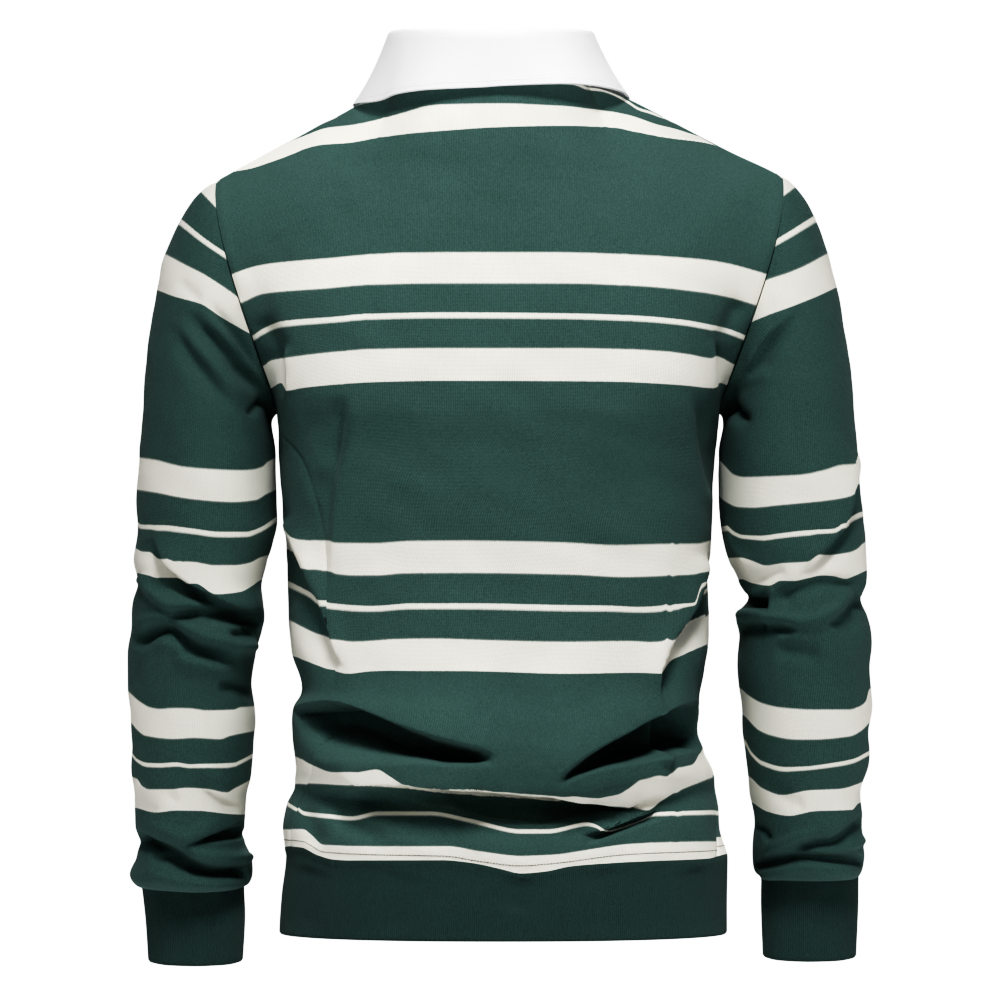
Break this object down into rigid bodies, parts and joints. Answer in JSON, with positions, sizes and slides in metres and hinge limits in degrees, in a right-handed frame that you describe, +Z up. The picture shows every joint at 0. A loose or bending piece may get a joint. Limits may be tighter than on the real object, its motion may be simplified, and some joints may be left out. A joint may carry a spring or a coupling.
{
  "type": "long-sleeved rugby polo shirt",
  "caption": "Green and cream striped long-sleeved rugby polo with a white fold-down collar and rib cuffs and hem, hollow and shaped as worn",
  "frame": {"origin": "middle of the neck opening, level with the points where the shoulder seams meet the collar", "axes": "+Z up, -Y the way the wearer faces, +X the wearer's left"},
  "size_m": [0.596, 0.25, 0.7509],
  "materials": {
    "striped_jersey": "heavy cotton jersey, dark green with cream stripe groups knitted in",
    "green_rib": "fine cotton rib knit, dark green",
    "white_twill": "white woven cotton twill, pressed",
    "button_resin": "satin white resin"
  },
  "bodies": {
    "root": {"back_panel": "striped_jersey", "front_panel": "striped_jersey", "sleeve_left": "striped_jersey", "sleeve_right": "striped_jersey", "cuff_left": "green_rib", "cuff_right": "green_rib", "hem_band": "green_rib", "collar_stand": "white_twill", "collar_fall": "white_twill", "placket_upper": "white_twill", "placket_under": "white_twill", "button_1": "button_resin", "button_2": "button_resin", "button_3": "button_resin"}
  },
  "joints": []
}
